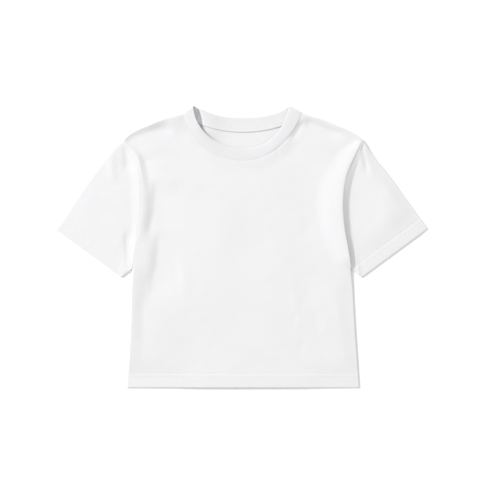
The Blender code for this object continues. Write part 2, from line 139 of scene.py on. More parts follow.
# Height of the front along its side seam and armhole seam, and how far in it takes to fall away.
FRONT_EDGE = table(
    "y right left right_reach left_reach",
    (0, 2.4, 2.2, 24, 18),
    (30, 4.6, 2.3, 26, 22),
    (60, 5.8, 2.4, 27, 26),
    (120, 6.3, 2.5, 27, 30),
    (170, 6.3, 2.7, 26, 34),
    (UNDERARM_Y, 5.6, 4.8, 22, 30),
    (222, 5.1, 7.8, 19, 36),
    (240, 5.1, 8.6, 18, 42),
    (256, 5.1, 8.7, 16, 44),
    (285, 5.3, 8.6, 17, 46),
    (315, 5.4, 8.3, 16, 48),
    (345, 5.5, 7.8, 13, 48),
    (373, 5.5, 7.1, 13, 44),
    (412, 5.1, 5.6, 10, 36),
    (SHOULDER_Y, 4.4, 4.4, 8, 14),
)
FRONT_LOW_Z = 2.8  # height of the front well in from its edges
FLOOR_Z, FLOOR_SOFT = 2 * CLOTH + 0.2, 0.5  # the front stays above the back, and levels out as it gets near
Bank = namedtuple("Bank", "height reach lead")
BANKS = {-1: Bank(1.9, 120.0, 3.5), 1: Bank(0.7, 80.0, 0.0)}  # the front also rises gently towards both sides
HEM_TOP_Z, CUFF_TOP_Z = 1.8, 1.7  # tops of the front at its hem and of a sleeve at its cuff
HEM_ARCH = 1.4  # how much higher the hem lies in its middle
SHOULDER_EDGE = table(
    "x right left right_reach left_reach",
    (NECK_X, 9.2, 5.2, 44, 15),
    (118, 9.3, 5, 37, 14),
    (138, 8.2, 4.9, 20, 14),
    (160, 7.3, 4.8, 14, 14),
    (190, 5.2, 4.5, 12, 13),
    (SHOULDER_X, 4.4, 4.2, 11, 12),
)
# Depth of the ditch along the front's side of each armhole seam, and along the neckline's seam.
ARMHOLE_DITCH = table(
    "at right left",
    (UNDERARM_Y, 0.05, 0.1),
    (250, 0.05, 0.2),
    (300, 0.05, 0.5),
    (345, 0.05, 0.8),
    (400, 0.1, 0.8),
    (SHOULDER_Y, 0.3, 0.8),
)
NECK_DITCH = table(
    "place depth",
    (-1.00, 0.5),
    (-0.90, 0.3),
    (-0.76, 0.05),
    (-0.25, 0.05),
    (0.00, 0.15),
    (0.30, 0.2),
    (0.70, 0.15),
    (1.00, 0.3),
)

# Folds run from (x0, y0) to (x1, y1), bowed sideways. Looking along one, it falls away over left and right.
# Power 2 is a soft roll, and 1 a crisp crease.
FOLD_COLUMNS = "x0 y0 x1 y1 height left right bow power"
FRONT_FOLDS = table(
    FOLD_COLUMNS,
    (-184, 414, -166, 330, -1.2, 50, 8, 0, 1.6),
    (-151, 368, -164, 238, -3.2, 50, 12, 1.5, 1.6),
    (-137, 282, -164, 140, -3.3, 36, 14, 1.5, 1.8),
    (-180, 170, -182, 60, -0.4, 12, 8, 1, 1.8),
    (-135, 238, -133, 172, 0.2, 9, 9, 1, 2),
    (-119, 244, -116, 154, -0.2, 8, 8, 1, 2),
    (-102, 220, -101, 120, 0.3, 12, 10, -1, 2),
    (151, 424, 149, 190, 0.8, 16, 22, 2, 2),
    (113, 296, 106, 254, -0.35, 12, 12, 0, 2),
    (80, 210, 100, 78, 0.35, 10, 10, 2, 1.8),
    (117, 180, 111, 146, -0.25, 9, 8, 0, 1.8),
    (121, 140, 136, 88, -0.3, 9, 8, 0, 1.8),
    (90, 134, 92, 104, -0.3, 6, 6, 0, 1.8),
    (104, 84, 101, 56, -0.3, 6, 6, 0, 1.8),
    (-124, 359, -104, 343, -0.25, 6, 6, 0, 1.8),
    (-96, 350, -95, 302, 0.3, 16, 16, 0, 2),
    (-136, 450, -80, 416, 0.7, 10, 9, 3, 2),
    (98, 472, 182, 440, -2.3, 4.5, 16, 0, 1.8),
    (175, 43, 195, 31, -0.3, 3, 3, 0, 1.6),
    (107, 466, 78, 426, -2.4, 7, 6, 0, 1.6),
    (-109, 482, -98, 458, -0.9, 7, 3.5, 0, 1.6),
    (61, 418, 62, 398, -0.4, 2.5, 2.5, 0, 1.6),
    (-30, 330, -44, 190, 0.4, 26, 22, 4, 2),
    (28, 300, 44, 120, -0.3, 24, 26, -4, 2),
)
BACK_FOLDS = table(
    FOLD_COLUMNS,
    (-180, 214, -118, 270, 1.2, 9, 11, 5, 2),
    (178, 210, 124, 262, 1.1, 11, 9, -5, 2),
    (-150, 186, -160, 66, 0.9, 9, 12, 4, 2),
    (152, 176, 145, 56, 0.8, 10, 9, -3, 2),
    (-98, 360, -66, 246, 0.6, 16, 14, 6, 2),
    (90, 376, 70, 260, 0.6, 14, 14, -6, 2),
    (-42, 132, -56, 46, 0.5, 12, 10, 3, 2),
    (34, 158, 60, 62, 0.5, 10, 12, 3, 2),
    (-64, 428, -156, 404, 0.7, 9, 9, 4, 2),
    (62, 430, 152, 410, 0.6, 9, 9, -4, 2),
)
SLEEVE_FOLDS = {
    -1: table(
        FOLD_COLUMNS,
        (-207, 426, -202, 370, -1.4, 12, 4.5, 0, 1.6),
        (-230, 416, -224, 350, 0.9, 7, 10, 0, 2),
        (-205.5, 278, -202, 192, -1.3, 14, 4.2, 0, 1.5),
        (-262, 356, -292, 282, 0.4, 16, 16, 4, 2),
        (-240, 318, -262, 250, -0.3, 12, 12, 3, 2),
    ),
    1: table(
        FOLD_COLUMNS,
        (209, 434, 222, 370, -1.6, 3, 5, -2, 1.5),
        (204, 424, 212, 376, 0.6, 5, 6, 0, 2),
        (250, 356, 274, 270, 0.4, 16, 14, -4, 2),
        (226, 320, 246, 240, -0.3, 12, 12, -2, 2),
    ),
}
UNDER_SLEEVE_FOLDS = {
    -1: table(
        FOLD_COLUMNS,
        (-202, 236, -250, 300, 0.8, 8, 8, 4, 2),
        (-232, 392, -276, 310, 0.6, 9, 12, -3, 2),
    ),
    1: table(
        FOLD_COLUMNS,
        (198, 236, 244, 304, 0.8, 8, 8, -4, 2),
        (234, 396, 270, 306, 0.6, 12, 9, 3, 2),
    ),
}
# The top of a sleeve next to the armhole seam, at a share of the way down it: from seam it falls to low at a
# distance of width, and there it steps up again by step. The last few millimetres are drawn down by tuck.
GUTTER_COLUMNS = "share seam low width step tuck"
SLEEVE_GUTTER = {
    -1: table(
        GUTTER_COLUMNS,
        (0.00, 4.4, 4, 10, 0, 0),
        (0.12, 4.8, 3.8, 18, 0, 0.3),
        (0.30, 5.8, 3.7, 26, 0, 1),
        (0.46, 5.9, 3.6, 25, 0, 1),
        (0.60, 5.4, 3.5, 22, 0, 0.4),
        (0.72, 5.1, 3.4, 19, 0, 0.5),
        (0.93, 3.7, 3.2, 14, 0, 0),
        (1.00, 3.2, 2.6, 9, 0, 0),
    ),
    1: table(
        GUTTER_COLUMNS,
        (0.00, 4.3, 4.2, 3, 0, 0),
        (0.07, 4.2, 3.4, 7, 0, 0),
        (0.14, 4.8, 2.6, 11, 0, 0),
        (0.28, 6.2, 1.6, 14.5, 0, 0),
        (0.50, 6.4, 1.3, 14, 0, 0),
        (0.75, 4.8, 1.3, 14, 0.3, 0),
        (0.93, 3.6, 1.3, 14, 1.3, 0),
        (1.00, 3, 1.3, 13, 1.4, 0),
    ),
}
GUTTER_WALL = 0.4  # how far a step takes to rise
SLEEVE_Z = 3.4  # the top of a sleeve well away from the seam
FOLD_Z = 1.2  # the top of the left sleeve next to its outer fold
# Heights along the front neckline, from the right shoulder (-1) to the left one (1): the top of the front
# next to the seam, and of the band at the seam and at its free edge.
BAND_LIFT = table(
    "place body seam free",
    (-1.00, 9, 9.6, 10.8),
    (-0.85, 7, 7.8, 10.6),
    (-0.70, 5.2, 6, 9.6),
    (-0.50, 4.2, 4.7, 7),
    (-0.30, 3.8, 4, 4.7),
    (0.00, 3.4, 3.5, 3.5),
    (0.35, 3.7, 4, 4),
    (0.70, 4.4, 4.8, 5),
    (1.00, 4.9, 5.2, 5.8),
)
STEP_X, STEP_Y, STEP_LEAN, STEP_RISE = -72.0, 467.0, 0.36, 3.0  # where the back of the neck buckles
TAPE_WIDTH = 8.5
TAPE_PAST_SEAM = 4.3  # how far the tape reaches from the neck seam onto the back

# The sewn hem and cuffs.
RAW_STEP = 0.3  # how far the turned ply lifts the face of the cloth
RAW_STEP_WIDTH = 3.8  # over what width it does, round the raw edge halfway between the rows of stitches
GROOVE, GROOVE_HALF = 0.12, 0.9  # depth and half width of the groove that a row of stitches pulls


# ---------------------------------------------------------------------------------------------------------
# Small helpers


def ease(q):
    """0 before 0, 1 after 1, and a smooth rise between."""
    q = np.clip(q, 0.0, 1.0)
    return q * q * (3 - 2 * q)


def fade(distance, reach):
    """1 at an edge, falling smoothly to 0 at a distance of reach from it."""
    return 1 - ease(distance / reach)


def read_table(rows, column, at):
    """A smooth curve through a table's first column and another, read at a value of the first."""
    xs = np.array([row[0] for row in rows])
    ys = np.array([getattr(row, column) for row in rows])
    slopes = np.gradient(ys, xs)
    at = np.clip(at, xs[0], xs[-1])
    i = np.clip(np.searchsorted(xs, at, side="right") - 1, 0, len(xs) - 2)
    step = xs[i + 1] - xs[i]
    t = (at - xs[i]) / step
    start = (1 + 2 * t) * (1 - t) ** 2 * ys[i] + t * (1 - t) ** 2 * step * slopes[i]
    end = t * t * (3 - 2 * t) * ys[i + 1] - t * t * (1 - t) * step * slopes[i + 1]
    return start + end


def read_side(rows, at, side, right="right", left="left"):
    """A table's column for the wearer's right (side < 0) or left, read at a value of its first column."""
    return np.where(np.asarray(side) < 0, read_table(rows, right, at), read_table(rows, left, at))


def unit(vectors):
    return vectors / np.maximum(np.linalg.norm(vectors, axis=-1, keepdims=True), 1e-12)


def lengths_along(line):
    """Distance along a line of points, at each of them."""
    return np.concatenate([[0], np.cumsum(np.linalg.norm(np.diff(line, axis=0), axis=1))])


def spaced(start, stop, pitch):
    """Values from start to stop, no further apart than pitch, without start."""
    return list(np.linspace(start, stop, max(2, math.ceil(abs(stop - start) / pitch) + 1))[1:])


def ripple(x, y, wavelength, seed):
    """A soft uneven swell, from about -1 to 1."""
    draw = np.random.default_rng(seed)
    total = np.zeros_like(x)
    for _ in range(7):
        angle, phase = draw.uniform(0, 2 * math.pi, 2)
        scale = 2 * math.pi / (wavelength * draw.uniform(0.7, 1.6))
        total = total + np.sin(scale * (x * math.cos(angle) + y * math.sin(angle)) + phase)
    return total / 4


def nearest(points, line):
    """Distance from each point to a line of points, and the share of the line before its nearest place."""
    flat = points.reshape(-1, 2)
    steps = np.gradient(line, axis=0)
    distance, share = [], []
    for part in np.array_split(flat, max(1, len(flat) // 4000)):
        index = np.linalg.norm(part[:, None] - line[None], axis=-1).argmin(axis=1)
        offset, step = part - line[index], steps[index]
        past = np.clip((offset * step).sum(axis=-1) / (step * step).sum(axis=-1), -0.5, 0.5)
        distance.append(np.linalg.norm(offset - past[:, None] * step, axis=-1))
        share.append((index + past) / (len(line) - 1))
    return tuple(np.concatenate(parts).reshape(points.shape[:-1]) for parts in (distance, share))


def fold_height(folds, x, y, depth):
    """The sum of the folds at a point."""
    wander_x, wander_y = x + 2.2 * ripple(x, y, 60, 3), y + 2.2 * ripple(x, y, 60, 4)
    total = np.zeros_like(x)
    for fold in folds:
        along = np.array([fold.x1 - fold.x0, fold.y1 - fold.y0])
        length = np.hypot(*along)
        t = ((wander_x - fold.x0) * along[0] + (wander_y - fold.y0) * along[1]) / length**2
        aside = ((wander_x - fold.x0) * -along[1] + (wander_y - fold.y0) * along[0]) / length
        aside = aside - fold.bow * 4 * t * (1 - t)
        width = np.where(aside > 0, fold.left, fold.right)
        shape = np.exp(-(np.abs(aside / width) ** fold.power))
        total = total + fold.height * depth * shape * ease(t / 0.25) * ease((1 - t) / 0.4)
    return total


def back_rise(x, y):
    """How far the back, its band and the tape stand off the table beside the neck's opening, on the right.

    The band there buckles up in a crisp step, and the front of the band hangs over the hollow beside it.
    """
    past = x - STEP_X + STEP_LEAN * np.clip(y - STEP_Y, 0, None)
    away = np.exp(-((np.clip(past - 8, 0, None) / 24) ** 2))
    return STEP_RISE * ease(past / 2.4) * away * ease((y - 425) / 26)


# ---------------------------------------------------------------------------------------------------------
# Layout of the pieces, in millimetres

NECK_SHARE = 0.53  # the neckline's share of a panel's columns
# About half the width of a panel and of the neck, and half the length of a neckline, to space columns by.
PANEL_HALF, NECK_HALF, NECKLINE_HALF = 190, 105, 140
TURNS = [math.radians(angle) for angle in range(0, 91, 15)]
FIRST_TURN = 0.966  # cosine of the first turn


def round_steps(radius):
    """Distances in from a rounded edge to the grid's rows, which are at even turns round it."""
    return [radius * (1 - math.cos(turn)) for turn in TURNS]


def nose_steps(radius):
    """The same for a folded edge, from one turn in and measured from there."""
    steps = round_steps(radius)[1:]
    return [step - steps[0] for step in steps]


ROLL_STEPS = round_steps(EDGE_ROUND)
NOSE_STEPS = nose_steps(CLOTH)


def from_side(x, y):
    """Distance in from the side seam or the armhole."""
    return read_side(SIDE_LINE, y, x) - np.abs(x)


def from_shoulder(x, y):
    """Distance from the shoulder seam, square to it."""
    return (read_side(SHOULDER_LINE, np.abs(x), x) - y) * SHOULDER_SLANT


def roll(distance):
    """How far round a rolled edge a point is: 0 at the edge and 1 where the cloth lies level."""
    return np.sqrt(np.clip(1 - (1 - np.clip(distance / EDGE_ROUND, 0, 1)) ** 2, 0, 1))


def lean(turn):
    return np.sqrt(np.clip(1 - turn**2, 0, 1))


def ditch(distance):
    """The share of a seam's ditch that is left at a distance from the seam."""
    return np.exp(-distance / DITCH_REACH)


def neck_curve(curves, ends, centre_y, place):
    """A point of a neckline or band edge. Place runs from the right shoulder (-1) to the left one (1)."""
    place = np.asarray(place, float)
    halves = []
    for side in (-1, 1):
        curve = curves[side]
        controls = (ends[side], (curve.x1, curve.y1), (curve.x2, centre_y), (0, centre_y))
        a, b, c, d = (np.array(p, float) for p in controls)
        t = (1 - np.abs(place))[..., None]
        halves.append((1 - t) ** 3 * a + 3 * (1 - t) ** 2 * t * b + 3 * (1 - t) * t * t * c + t**3 * d)
    return np.where((place < 0)[..., None], halves[0], halves[1])


# The band's seam and its free edge, at the front and at the back.
front_seam = partial(neck_curve, FRONT_SEAM, SEAM_END, FRONT_NECK_Y)
back_seam = partial(neck_curve, BACK_SEAM, SEAM_END, BACK_NECK_Y)
front_free = partial(neck_curve, FRONT_FREE, FOLD_END, FRONT_NECK_Y + BAND_WIDTH)
back_free = partial(neck_curve, BACK_FREE, FOLD_END, BACK_NECK_Y + BAND_WIDTH)


def moved_off(curve, place, distance):
    """Points of a neckline moved into the body by a distance."""
    place = np.asarray(place, float)
    step = 1e-4
    way = unit(curve(np.clip(place + step, -1, 1)) - curve(np.clip(place - step, -1, 1)))
    return curve(place) + distance * np.stack([way[..., 1], -way[..., 0]], axis=-1)


def neck_places(pitch):
    """Places along a neckline, close together round the rolled shoulders."""
    ends = [1 - d / NECK_HALF for d in ROLL_STEPS]
    half = ends + spaced(ends[-1], 0, pitch / NECKLINE_HALF)
    return np.array([-place for place in half[:-1]] + half[::-1])


def top_edge(seam, u):
    """The panel's top edge: one shoulder, the neckline, and the other shoulder."""
    out = np.clip((np.abs(u) - NECK_SHARE) / (1 - NECK_SHARE), 0, 1)
    x = NECK_X + SEAM + out * (SHOULDER_X - NECK_X - SEAM)
    shoulder = np.stack([np.sign(u) * x, read_side(SHOULDER_LINE, x, u)], axis=-1)
    neck = moved_off(seam, np.clip(u / NECK_SHARE, -1, 1), SEAM)
    return np.where((np.abs(u) >= NECK_SHARE)[..., None], shoulder, neck)


def armhole_shares(pitch):
    """Shares of the way along an armhole, close together round the rolled ends."""
    ends = [d / ARMHOLE_LENGTH for d in ROLL_STEPS]
    between = spaced(ends[-1], 1 - ends[-1], pitch / ARMHOLE_LENGTH)[:-1]
    return np.array(ends + between + [1 - end for end in ends[::-1]])


def panel_plan(seam, pitch, first_rows):
    """Plan positions of a panel's grid, x and y. Its first rows are at given distances up from the hem."""
    sides = [1 - d / PANEL_HALF for d in ROLL_STEPS]
    outer = spaced(sides[-1], 0.84, 0.6 * pitch / PANEL_HALF)
    shoulder = spaced(outer[-1], NECK_SHARE, pitch / PANEL_HALF)[:-1]
    places = neck_places(pitch)
    half = sides + outer + shoulder + [NECK_SHARE * place for place in places[::-1][: len(places) // 2 + 1]]
    u = np.array([-c for c in half[:-1]] + half[::-1])[None, :]
    low = np.array(first_rows + spaced(first_rows[-1], UNDERARM_Y, pitch)[:-1])
    w = armhole_shares(pitch)[:, None]
    y_low = low[:, None] + 0 * u
    x_low = u * read_side(SIDE_LINE, y_low, u)
    top = top_edge(seam, u)
    side_y = UNDERARM_Y + w * ARMHOLE_LENGTH
    underarm_x = read_side(SIDE_LINE, UNDERARM_Y, u)
    hollow = read_side(SIDE_LINE, side_y, u) - (1 - w) * underarm_x - w * SHOULDER_X
    x_high = (1 - w) * u * underarm_x + w * top[..., 0] + u * np.abs(u) ** 3 * hollow
    y_high = (1 - w) * UNDERARM_Y + w * top[..., 1]
    return np.concatenate([x_low, x_high]), np.concatenate([y_low, y_high])


def hem_ply(from_hem, depth):
    """Thickness of the wall: two plies in a hem and one above it."""
    return CLOTH + CLOTH * fade(from_hem - depth, 1.6)


def fold_pinch(distance, radius):
    """How much of the thickness is lost towards a folded edge, up to where its face starts, one turn in."""
    q = np.clip(1 - distance / radius, 0, FIRST_TURN)
    return 1 - np.sqrt(1 - q * q)


def pinched(outer, inner, share):
    middle = (outer + inner) / 2
    return outer + (middle - outer) * share[..., None], inner + (middle - inner) * share[..., None]


def hem_step(from_hem, rows):
    """How far a hem's turned ply lifts the face of the cloth, up to its raw edge."""
    return RAW_STEP * fade(from_hem - sum(rows) / 2 + RAW_STEP_WIDTH / 2, RAW_STEP_WIDTH)


def sewn_rows(from_hem, rows, along):
    """The grooves of a hem's rows of stitches, the swell between them, and the small puckers beside them."""
    near, far = rows
    groove = sum(-GROOVE * np.exp(-(((from_hem - row) / GROOVE_HALF) ** 2)) for row in rows)
    swell = 0.06 * np.exp(-(((from_hem - (near + far) / 2) / 2.2) ** 2))
    pucker = 0.05 * np.sin(along * 2 * math.pi / 7.3 + 2.0 * np.sin(along / 31.0) + from_hem * 0.25)
    return groove + swell + pucker * np.exp(-(((from_hem - near) / 9.0) ** 2))


def under_groove(from_hem, rows, along):
    """How far the grooves of a hem's stitches rise into its underside."""
    in_hem = np.exp(-(((from_hem - sum(rows) / 2) / 6) ** 4))
    return np.clip(-sewn_rows(from_hem, rows, along), 0, 1) * in_hem


# ---------------------------------------------------------------------------------------------------------
# Meshes


def shell_mesh(name, outer, inner, cut, wrap=False):
    """A closed wall of cloth between an outer and an inner grid of points, with its flat cut as a UV map.

    With wrap, the rows close into a ring, and cut has one row more than the grids.
    """
    rows, columns, _ = outer.shape
    half = rows * columns
    i = np.arange(rows if wrap else rows - 1)[:, None]
    j = np.arange(columns - 1)[None, :]
    k = (i + 1) % rows
    quad, quad_cut = (
        np.stack([i * columns + j, i * columns + j + 1, next_row + j + 1, next_row + j], -1).reshape(-1, 4)
        for next_row in (k * columns, (i + 1) * columns)
    )
    faces = [quad, quad[:, ::-1] + half]
    cuts = [quad_cut, quad_cut[:, ::-1]]
    for column, order in ((0, (0, 1, 2, 3)), (columns - 1, (1, 0, 3, 2))):
        a, b = (i * columns + column).ravel(), (k * columns + column).ravel()
        ca, cb = a, ((i + 1) * columns + column).ravel()
        faces.append(np.stack([a, b, b + half, a + half], -1)[:, order])
        cuts.append(np.stack([ca, cb, cb, ca], -1)[:, order])
    if not wrap:
        for row, order in ((0, (1, 0, 3, 2)), (rows - 1, (0, 1, 2, 3))):
            a, b = (row * columns + j).ravel(), (row * columns + j + 1).ravel()
            faces.append(np.stack([a, b, b + half, a + half], -1)[:, order])
            cuts.append(np.stack([a, b, b, a], -1)[:, order])
    faces, cuts = np.concatenate(faces), np.concatenate(cuts)
    points = np.concatenate([outer.reshape(-1, 3), inner.reshape(-1, 3)])
    a, b, c, d = (points[faces[:, n]] for n in range(4))
    if (a * (np.cross(b, c) + np.cross(c, d))).sum() < 0:
        faces, cuts = faces[:, ::-1], cuts[:, ::-1]
    mesh = bpy.data.meshes.new(name)
    mesh.from_pydata((points * MM + LAYOUT).tolist(), [], faces.tolist())
    layer = mesh.uv_layers.new(name="cut")
    layer.data.foreach_set("uv", (cut.reshape(-1, 2) * MM)[cuts.ravel()].astype(np.float32).ravel())
    mesh.shade_smooth()
    mesh.set_sharp_from_angle(angle=math.radians(60))
    made = bpy.data.objects.new(name, mesh)
    bpy.context.scene.collection.objects.link(made)
    return made


def finish_piece(piece, node, material):
    """Gives a piece its material and ties it to the frame."""
    piece.data.materials.append(material)
    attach(piece, "root")
    if node:
        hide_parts(node)


# ---------------------------------------------------------------------------------------------------------
# Cloth


def top_walls(x, y, top_z, level_z, up, wall):
    """Outer and inner surfaces of a body panel, its sides and shoulders rolled to level_z at the seams."""
    side = np.maximum(roll(from_side(x, y)), roll(y - UNDERARM_Y))
    shoulder = roll(from_shoulder(x, y))
    turn = side * shoulder
    plan = np.stack([x, y], axis=-1)
    across = unit(np.gradient(plan, axis=1)) * np.sign(x)[..., None]
    upward = unit(np.gradient(plan, axis=0))
    out = across * lean(side)[..., None] + upward * (lean(shoulder) * side)[..., None]
    z = level_z + (top_z - level_z) * turn
    outer = np.concatenate([plan, z[..., None]], axis=-1)
    inner = np.concatenate([plan - out * wall[..., None], (z - up * wall * turn)[..., None]], axis=-1)
    return pinched(outer, inner, fold_pinch(y, CLOTH))


def hem_rows(rows):
    """Distances up from a hem for the grid's rows: round the fold and close to each row of stitches."""
    near, far = rows
    steps = list(NOSE_STEPS) + spaced(NOSE_STEPS[-1], near - 1.6, 2.4)
    for row in rows:
        steps += [row - 0.8, row, row + 0.8]
        if row == near:
            steps += spaced(near + 0.8, far - 1.6, 1.6)
    return steps + [far + 1.7, far + 2.8]


def front_surface(x, y, cloth, sewing):
    """Top of the front above the surface, before its edges roll down."""
    gap = from_side(x, y)
    crest = read_side(FRONT_EDGE, y, x)
    bank, bank_reach, lead = (np.where(x < 0, right, left) for right, left in zip(BANKS[-1], BANKS[1]))
    edge_reach = read_side(FRONT_EDGE, y, x, "right_reach", "left_reach") + lead
    folds = fold_height(FRONT_FOLDS, x, y, cloth.fold_depth)
    height = FRONT_LOW_Z + bank * fade(gap, bank_reach) * fade(y - 330, 90)
    height = height + cloth.swell / MM * ripple(x, y, 120, 1) * ease(gap / 30)
    height = height + folds * ease((y - 14) / 30)
    height = height + (crest - height) * fade(gap + lead, edge_reach)
    hem_z = HEM_TOP_Z + HEM_ARCH * fade(np.abs(x - 6) - 60, 110) + 0.15 * ripple(x, 0 * x, 70, 5)
    height = height + (hem_z - height) * fade(y - 12, 40)
    top = read_side(SHOULDER_EDGE, np.abs(x), x)
    reach = read_side(SHOULDER_EDGE, np.abs(x), x, "right_reach", "left_reach")
    high = np.maximum(height, top)
    height = height + (high - height) * fade(from_shoulder(x, y), reach) * ease((np.abs(x) - NECK_X) / 14 + 1)
    from_neck, share = nearest(np.stack([x, y], -1), moved_off(front_seam, np.linspace(-1, 1, 241), SEAM))
    neck_z = read_table(BAND_LIFT, "body", 2 * share - 1)
    height = height + (neck_z + 0.7 * folds - height) * fade(from_neck, 24)
    low = FLOOR_Z + FLOOR_SOFT
    height = np.where(height < low, FLOOR_Z + FLOOR_SOFT * np.exp((height - low) / FLOOR_SOFT), height)
    seam_ditch = read_side(ARMHOLE_DITCH, y, x) * ease((y - UNDERARM_Y) / 8) * ditch(gap)
    height = height - seam_ditch - read_table(NECK_DITCH, "depth", 2 * share - 1) * ditch(from_neck)
    rows = sewing_rows(sewing, "hem")
    return height + hem_step(y, rows) + sewn_rows(y, rows, x) + 0.06 * ripple(x, y, 26, 6)


def sewing_rows(sewing, which):
    far = (sewing.hem_depth if which == "hem" else sewing.cuff_depth) / MM
    return far - sewing.row_gap / MM, far


def make_front(cloth, sewing):
    rows = sewing_rows(sewing, "hem")
    x, y = panel_plan(front_seam, cloth.pitch / MM, hem_rows(rows))
    top = front_surface(x, y, cloth, sewing)
    walls = top_walls(x, y, top, EDGE_Z + SEAM / 2, 1, hem_ply(y, rows[1]))
    return shell_mesh("front_cloth", *walls, np.stack([x, y], -1))


def make_back(cloth, sewing):
    rows = sewing_rows(sewing, "hem")
    x, y = panel_plan(back_seam, 1.2 * cloth.pitch / MM, hem_rows(rows))
    inside = ease(y / 60 - 0.6) * ease(from_side(x, y) / 14)
    room = front_surface(x, y, cloth, sewing) - 2.4 * CLOTH
    creases = np.clip(fold_height(BACK_FOLDS, x, y, cloth.fold_depth) * inside, 0, np.clip(room, 0, 1.4))
    low = under_groove(y, rows, x) + creases + back_rise(x, y)
    outer, inner = top_walls(x, y, low, EDGE_Z - SEAM / 2, -1, hem_ply(y, rows[1]))
    return shell_mesh("back_cloth", outer, inner, np.stack([x, y], -1))


def tube_walls(plan_top, plan_low, top_z, low_z, turn, wall, pinch):
    """Outer and inner rings of a flattened tube: the rows of its top, then those of its underside."""
    across = np.linspace(0, 1, len(top_z))[:, None]
    middle = (top_z[:1] * (1 - across) + top_z[-1:] * across) / 2
    turn = turn[:, None] + 0 * top_z
    toward = np.sign((len(top_z) - 1) / 2 - np.arange(len(top_z)))[:, None, None]
    edges = [-unit(np.gradient(plan, axis=0)) * toward for plan in (plan_top, plan_low)]
    for row in (0, -1):
        edges[0][row] = edges[1][row] = unit(edges[0][row] + edges[1][row])
    surfaces = []
    for plan, edge, level, up in ((plan_top, edges[0], top_z, 1), (plan_low, edges[1], low_z, -1)):
        z = middle + (level - middle) * turn
        outer = np.concatenate([plan, z[..., None]], axis=-1)
        shift = edge * (lean(turn) * wall)[..., None]
        inner = np.concatenate([plan - shift, (z - up * wall * turn)[..., None]], axis=-1)
        surfaces.append(pinched(outer, inner, pinch))
    (top_out, top_in), (low_out, low_in) = surfaces
    return np.concatenate([top_out, low_out[-2:0:-1]]), np.concatenate([top_in, low_in[-2:0:-1]])


def cuff_frame(side):
    """A cuff's outer and inner ends, the direction between them, and the one up the sleeve."""
    outer, inner = np.array(CUFF_OUTER[side]), np.array(CUFF_INNER[side])
    along = unit(inner - outer)
    up = np.array([along[1], -along[0]])
    return outer, inner, along, up * np.sign(up[1])


def sleeve_plan(side, pitch, rows):
    """A sleeve's grid in plan. Rows go down the armhole, and columns from the armhole to the cuff."""
    column = "left" if side > 0 else "right"
    t = armhole_shares(pitch)
    seam_y = SHOULDER_Y + t * (UNDERARM_Y - SHOULDER_Y)
    armhole = np.stack([side * read_table(SIDE_LINE, column, seam_y), seam_y], axis=-1)
    way = unit(np.gradient(armhole, axis=0))
    armhole = armhole + SEAM * side * np.stack([-way[:, 1], way[:, 0]], axis=-1)
    outer, inner, along_cuff, up_sleeve = cuff_frame(side)
    cuff = outer + t[:, None] * (inner - outer)
    fold_way, under_way = unit(armhole[0] - outer), unit(armhole[-1] - inner)
    up = np.outer(1 - t, fold_way / (fold_way @ up_sleeve)) + np.outer(t, under_way / (under_way @ up_sleeve))
    room = ((armhole - cuff) @ up_sleeve)[:, None]
    steps = np.array(hem_rows(rows)[:-1])[None, :] * np.minimum(1, (room - 1) / hem_rows(rows)[-2])
    hem = cuff + steps[:, -1:] * up
    length = np.linalg.norm(hem - armhole, axis=1)[:, None]
    width = np.minimum(read_table(SLEEVE_GUTTER[side], "width", t)[:, None], 0.8 * length)
    wall = np.minimum(GUTTER_WALL, 0.1 * length)
    first = np.array([0, 0.04, 0.1] + spaced(0.1, 1, 0.12))[None, :]
    rest = np.array(spaced(0, 1, pitch / 120))[None, :]
    past = width + wall
    s = np.concatenate([first * width, past, past + rest * (length - past)], axis=1) / length
    fold_out = np.array([fold_way[1], -fold_way[0]])
    fold_out = fold_out * np.sign(fold_out[0] * side)
    s3, t3 = s[..., None], t[:, None, None]
    bow = read_table(SLEEVE_BOW, column, s)[..., None] * fold_out * (1 - t3)
    upper = (1 - s3) * armhole[:, None] + s3 * hem[:, None] + bow
    cuffs = cuff[:, None] + steps[:, -2::-1, None] * up[:, None]
    plan = np.concatenate([upper, cuffs], axis=1)
    return t, plan, (plan - outer) @ up_sleeve, (plan - outer) @ along_cuff


def sleeve_surface(side, t, plan, from_cuff, along_cuff, cloth, rows):
    """Top of a sleeve above the surface, before its edges roll down."""
    from_seam = np.linalg.norm(plan - plan[:, :1], axis=-1)
    gutter = SLEEVE_GUTTER[side]
    columns = GUTTER_COLUMNS.split()[1:]
    seam, low, width, step, tuck = (read_table(gutter, column, t)[:, None] for column in columns)
    near = 1 - np.clip(from_seam / width, 0, 1)
    height = low + (seam - low) * (near**1.2 if side < 0 else near) - tuck * np.exp(-((from_seam / 4.0) ** 2))
    height = height + step * ease((from_seam - width) / GUTTER_WALL) * fade(from_seam - width - 6, 70)
    height = height + (SLEEVE_Z - low) * ease((from_seam - width) / 90)
    x, y = plan[..., 0], plan[..., 1]
    inside = ease(from_seam / 6)
    height = height + fold_height(SLEEVE_FOLDS[side], x, y, cloth.fold_depth) * inside
    height = height + cloth.swell / MM * ripple(x, y, 90, 11 + side) * inside * ease(from_cuff / 40)
    off_seam = from_seam / 40 if side < 0 else (from_seam - width - 3) / 10
    by_cuff = fade(from_cuff - rows[1] + 6, 44) * ease(off_seam)
    height = height + (CUFF_TOP_Z - height) * by_cuff
    thin = fade(t * ARMHOLE_LENGTH, 26)[:, None] * ease(from_seam / 30) * (side > 0)
    height = height + (FOLD_Z - height) * thin
    height = height - 0.05 * ditch(from_seam) + sewn_rows(from_cuff, rows, along_cuff)
    return height + hem_step(from_cuff, rows) + 0.05 * ripple(x, y, 24, 14 + side) * inside


